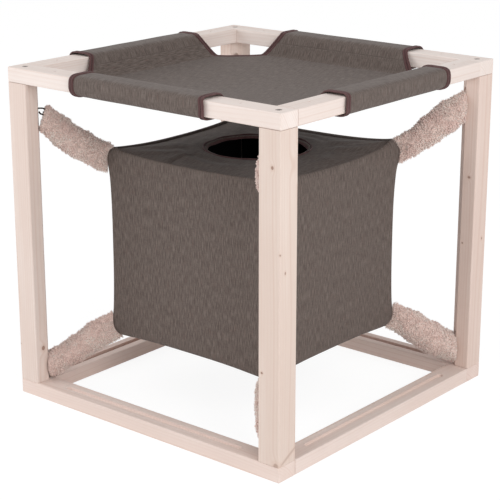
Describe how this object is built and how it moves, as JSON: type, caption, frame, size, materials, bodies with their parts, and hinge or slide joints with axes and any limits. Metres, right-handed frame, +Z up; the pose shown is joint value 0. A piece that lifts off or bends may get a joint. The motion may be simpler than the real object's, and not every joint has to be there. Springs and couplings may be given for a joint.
{
  "type": "cat hammock",
  "caption": "Cube of whitewashed timbers with a fabric hammock sewn round its top rails and a fabric cave with a round mouth hung inside on plush straps.",
  "frame": {"origin": "centre of the footprint, on the floor", "axes": "+Z up; X along the front and back rails, which run the full width; the front is -Y"},
  "size_m": [0.508, 0.508, 0.504],
  "materials": {
    "timber": "whitewashed pine, matt",
    "black_steel": "black oxide",
    "plush": "curly long-pile plush",
    "heather_fabric": "brown-grey heather weave",
    "binding": "dark brown bias binding",
    "cushion": "plush cushion",
    "board": "hardboard"
  },
  "bodies": {
    "frame": {"top_rail_front": "timber", "top_rail_right": "timber", "top_rail_back": "timber", "top_rail_left": "timber", "bottom_rail_front": "timber", "bottom_rail_right": "timber", "bottom_rail_back": "timber", "bottom_rail_left": "timber", "post_front_left": "timber", "post_front_right": "timber", "post_back_right": "timber", "post_back_left": "timber", "top_screw_front_left": "black_steel", "top_screw_front_right": "black_steel", "top_screw_back_right": "black_steel", "top_screw_back_left": "black_steel", "bottom_screw_front_left": "black_steel", "bottom_screw_front_right": "black_steel", "bottom_screw_back_right": "black_steel", "bottom_screw_back_left": "black_steel", "screw_hook_upper_front_left": "black_steel", "screw_hook_upper_front_right": "black_steel", "screw_hook_upper_back_right": "black_steel", "screw_hook_upper_back_left": "black_steel", "screw_hook_lower_front_left": "black_steel", "screw_hook_lower_front_right": "black_steel", "screw_hook_lower_back_right": "black_steel", "screw_hook_lower_back_left": "black_steel", "hammock_sleeve_front": "heather_fabric", "hammock_sleeve_right": "heather_fabric", "hammock_sleeve_back": "heather_fabric", "hammock_sleeve_left": "heather_fabric", "strap_upper_front_left": "plush", "strap_upper_front_right": "plush", "strap_upper_back_right": "plush", "strap_upper_back_left": "plush", "strap_lower_front_left": "plush", "strap_lower_front_right": "plush", "strap_lower_back_right": "plush", "strap_lower_back_left": "plush", "hammock_flap_front": "heather_fabric", "hammock_flap_right": "heather_fabric", "hammock_flap_back": "heather_fabric", "hammock_flap_left": "heather_fabric", "hammock_binding_front_left": "binding", "hammock_binding_front_right": "binding", "hammock_binding_back_right": "binding", "hammock_binding_back_left": "binding"},
    "cave": {"cave_wall_front": "heather_fabric", "cave_wall_right": "heather_fabric", "cave_wall_back": "heather_fabric", "cave_wall_left": "heather_fabric", "cave_top": "heather_fabric", "cave_floor": "heather_fabric", "cave_mouth_binding": "binding", "cave_floor_board": "board", "cave_cushion": "cushion"},
    "hammock": {"hammock_bed": "heather_fabric"}
  },
  "joints": [
    {"name": "cave_bounce", "type": "slide", "parent": "frame", "child": "cave", "axis": [0, 0, 1], "range_m": [-0.03, 0.012], "stiffness_N_per_m": 2500, "springref_m": 0.006, "deforming": ["strap_upper_front_left", "strap_upper_front_right", "strap_upper_back_right", "strap_upper_back_left", "strap_lower_front_left", "strap_lower_front_right", "strap_lower_back_right", "strap_lower_back_left"]},
    {"name": "hammock_bounce", "type": "slide", "parent": "frame", "child": "hammock", "axis": [0, 0, 1], "range_m": [-0.03, 0.004], "stiffness_N_per_m": 4000, "springref_m": 0.0003, "deforming": ["hammock_flap_front", "hammock_flap_right", "hammock_flap_back", "hammock_flap_left", "hammock_binding_front_left", "hammock_binding_front_right", "hammock_binding_back_right", "hammock_binding_back_left"]}
  ]
}
